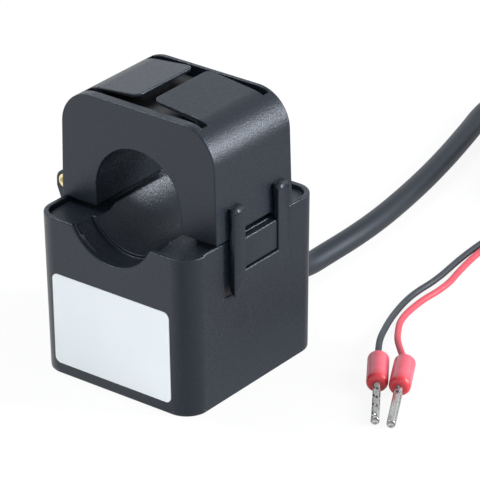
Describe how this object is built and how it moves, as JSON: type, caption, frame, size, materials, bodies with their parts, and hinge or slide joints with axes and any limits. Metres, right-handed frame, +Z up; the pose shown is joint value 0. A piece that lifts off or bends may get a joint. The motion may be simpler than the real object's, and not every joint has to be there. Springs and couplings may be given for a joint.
{
  "type": "split-core current transformer",
  "caption": "Square black split-core current transformer with a hinged, snap-latched lid round a round aperture, and a free two-core cable ending in ferrules.",
  "frame": {"origin": "centre of the base's flat underside", "axes": "+X to the right along the front, which carries the label; +Y back along the conductor, towards the side the cable leaves; +Z up"},
  "size_m": [0.0691, 0.1416, 0.0461],
  "materials": {
    "grey_black_plastic": "fine spark-eroded satin",
    "brass_pin": "drawn, plain",
    "core_steel": "ground",
    "bobbin_plastic": "moulded",
    "enamelled_wire": "glossy enamel",
    "yellow_tape": "polyester film",
    "tinned_metal": "tinned",
    "red_insulation": "extruded",
    "black_insulation": "extruded",
    "nylon_tie": "moulded",
    "label_film": "satin film",
    "cable_jacket": "extruded PVC, satin",
    "pink_red_plastic": "translucent moulded"
  },
  "bodies": {
    "base": {"base_housing": "grey_black_plastic", "channel_cover": "grey_black_plastic", "hinge_pin": "brass_pin", "lower_core": "core_steel", "bobbin": "bobbin_plastic", "winding": "enamelled_wire", "winding_tape": "yellow_tape", "terminal_pins": "tinned_metal", "inner_lead_red": "red_insulation", "inner_lead_black": "black_insulation", "inner_cable_tie": "nylon_tie", "label": "label_film", "cable": "cable_jacket", "cable_coil": "cable_jacket", "cable_end": "cable_jacket", "coil_tie": "black_insulation", "lead_red": "red_insulation", "lead_black": "black_insulation", "collar_red_lead": "pink_red_plastic", "collar_black_lead": "pink_red_plastic", "barrel_red_lead": "tinned_metal", "barrel_black_lead": "tinned_metal"},
    "lid": {"lid_shell": "grey_black_plastic", "upper_core": "core_steel"},
    "latch": {"latch_loop": "grey_black_plastic"}
  },
  "joints": [
    {"name": "lid_hinge", "type": "hinge", "parent": "base", "child": "lid", "pos_m": [-0.0153, 0, 0.02855], "axis": [0, -1, 0], "range_deg": [0, 120], "deforming": ["latch_loop"]},
    {"name": "latch_flex", "type": "hinge", "parent": "lid", "child": "latch", "pos_m": [0.01483, 0.0003, 0.0319], "axis": [0, -1, 0], "range_deg": [0, 8], "stiffness_Nm_per_rad": 0.55}
  ]
}
